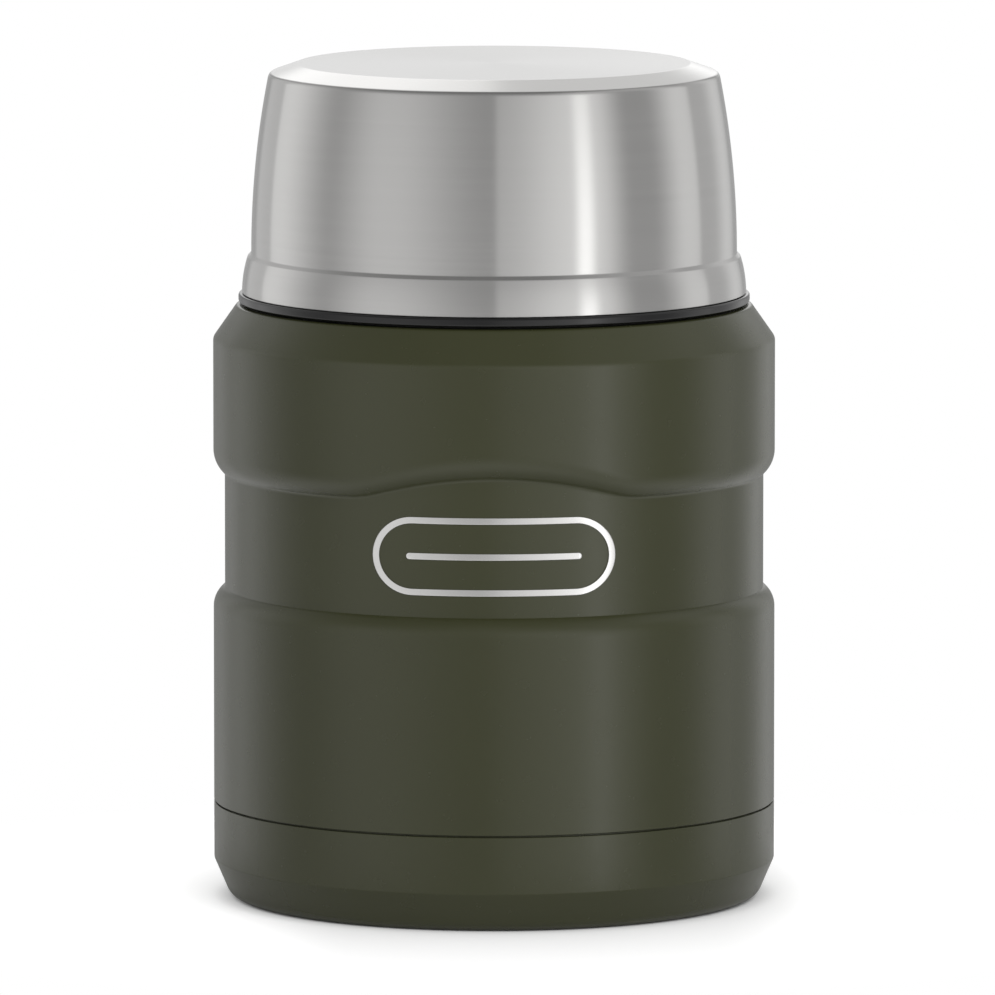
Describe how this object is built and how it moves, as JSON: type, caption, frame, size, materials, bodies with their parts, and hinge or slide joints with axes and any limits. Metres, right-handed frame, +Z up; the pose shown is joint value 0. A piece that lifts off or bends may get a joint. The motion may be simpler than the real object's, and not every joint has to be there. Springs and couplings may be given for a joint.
{
  "type": "insulated food jar",
  "caption": "Vacuum insulated steel food jar with a painted waisted body, a screwed steel bowl lid, and a threaded stopper that holds a folding spoon.",
  "frame": {"origin": "centre of the plane that the jar stands on", "axes": "+Z up along the jar's axis, -Y out of the front where the arch and the badge are"},
  "size_m": [0.094, 0.094, 0.14],
  "materials": {
    "body_paint": "satin powder coat, dark olive",
    "lid_steel": "fine circumferential brushing",
    "vessel_steel": "electropolished satin",
    "spoon_steel": "polished",
    "badge_steel": "satin",
    "black_plastic": "satin moulded polypropylene",
    "black_rubber": "soft silicone",
    "foam": "closed-cell foam",
    "foil": "bright foil",
    "solder": "dull"
  },
  "bodies": {
    "jar": {"outer_shell": "body_paint", "inner_vessel": "vessel_steel", "shell_end_plate": "vessel_steel", "evacuation_seal": "solder", "getter_capsule": "solder", "getter_strap": "vessel_steel", "radiation_foil": "foil", "base_pad": "foam", "base_cup": "body_paint", "front_badge": "badge_steel"},
    "gasket": {"stopper_gasket": "black_rubber"},
    "stopper": {"stopper_cap": "black_plastic", "stopper_plug": "black_plastic", "stopper_foam": "foam"},
    "spoon": {"spoon_bowl": "spoon_steel", "spoon_rivet": "spoon_steel"},
    "handle": {"spoon_handle": "spoon_steel"},
    "seal": {"lid_seal": "black_rubber"},
    "lid": {"lid_shell": "lid_steel", "lid_liner": "vessel_steel", "lid_rim": "black_plastic"}
  },
  "joints": [
    {"name": "stopper_rise", "type": "slide", "parent": "jar", "child": "gasket", "axis": [0, 0, 1], "range_m": [0, 0.04]},
    {"name": "stopper_turn", "type": "hinge", "parent": "gasket", "child": "stopper", "pos_m": [0, 0, 0.105], "axis": [0, 0, 1], "range_deg": [0, 900]},
    {"name": "spoon_lift", "type": "slide", "parent": "stopper", "child": "spoon", "axis": [0, 0, 1], "range_m": [0, 0.005]},
    {"name": "spoon_fold", "type": "hinge", "parent": "spoon", "child": "handle", "pos_m": [0.0307, 0, 0.11905], "axis": [0, 1, 0], "range_deg": [0, 6]},
    {"name": "lid_rise", "type": "slide", "parent": "stopper", "child": "seal", "axis": [0, 0, 1], "range_m": [0, 0.04]},
    {"name": "lid_turn", "type": "hinge", "parent": "seal", "child": "lid", "pos_m": [0, 0, 0.105], "axis": [0, 0, 1], "range_deg": [0, 900]}
  ],
  "couplings": [
    {"joint": "stopper_rise", "follows": "stopper_turn", "m_per_rad": 0.0025465},
    {"joint": "lid_rise", "follows": "lid_turn", "m_per_rad": 0.0025465}
  ]
}
